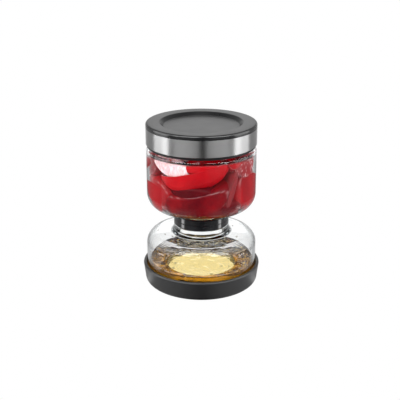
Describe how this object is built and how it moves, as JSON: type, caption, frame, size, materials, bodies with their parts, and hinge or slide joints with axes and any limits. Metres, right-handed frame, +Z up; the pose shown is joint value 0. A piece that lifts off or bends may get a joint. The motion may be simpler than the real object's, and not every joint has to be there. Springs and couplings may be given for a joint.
{
  "type": "pickle keeper",
  "caption": "Hourglass pickle keeper: a lidded glass food jar over a glass brine jar, joined by a collar that holds a lift-out strainer in their shared neck, with a soft boot under it.",
  "frame": {"origin": "on the common axis of jars and lid, at the underside of the base boot", "axes": "+Z up along the axis; the keeper is round about +Z, and -Y faces the viewer of the picture"},
  "size_m": [0.1084, 0.1084, 0.1523],
  "materials": {
    "boot_rubber": "matte",
    "lower_glass": "clear",
    "upper_glass": "clear",
    "collar_plastic": "gloss",
    "seal_rubber": "matte",
    "strainer_steel": "brushed",
    "insert_plastic": "satin",
    "band_steel": "brushed",
    "cap_plastic": "satin",
    "pepper_skin": "wet gloss",
    "oil": "clear"
  },
  "bodies": {
    "base_boot": {"base_boot": "boot_rubber"},
    "lower_jar": {"lower_jar": "lower_glass"},
    "collar": {"neck_collar": "collar_plastic", "lower_neck_seal": "seal_rubber", "upper_neck_seal": "seal_rubber"},
    "strainer": {"strainer_frame": "strainer_steel", "strainer_plate": "strainer_steel", "lift_loop": "strainer_steel"},
    "upper_jar": {"upper_jar": "upper_glass"},
    "lid_seal": {"lid_seal": "seal_rubber"},
    "lid": {"lid_insert": "insert_plastic", "lid_band": "band_steel", "lid_cap": "cap_plastic"}
  },
  "joints": [
    {"name": "lower_jar_lift", "type": "slide", "parent": "base_boot", "child": "lower_jar", "axis": [0, 0, 1], "range_m": [0, 0.02]},
    {"name": "collar_pull", "type": "slide", "parent": "lower_jar", "child": "collar", "axis": [0, 0, 1], "range_m": [0, 0.012]},
    {"name": "strainer_lift", "type": "slide", "parent": "collar", "child": "strainer", "axis": [0, 0, 1], "range_m": [0, 0.03]},
    {"name": "upper_jar_pull", "type": "slide", "parent": "collar", "child": "upper_jar", "axis": [0, 0, 1], "range_m": [0, 0.012]},
    {"name": "lid_rise", "type": "slide", "parent": "upper_jar", "child": "lid_seal", "axis": [0, 0, 1], "range_m": [0, 0.0151]},
    {"name": "lid_turn", "type": "hinge", "parent": "lid_seal", "child": "lid", "pos_m": [0, 0, 0.1456], "axis": [0, 0, 1], "range_deg": [0, 540]}
  ],
  "couplings": [
    {"joint": "lid_rise", "follows": "lid_turn", "m_per_rad": 0.0015915}
  ]
}
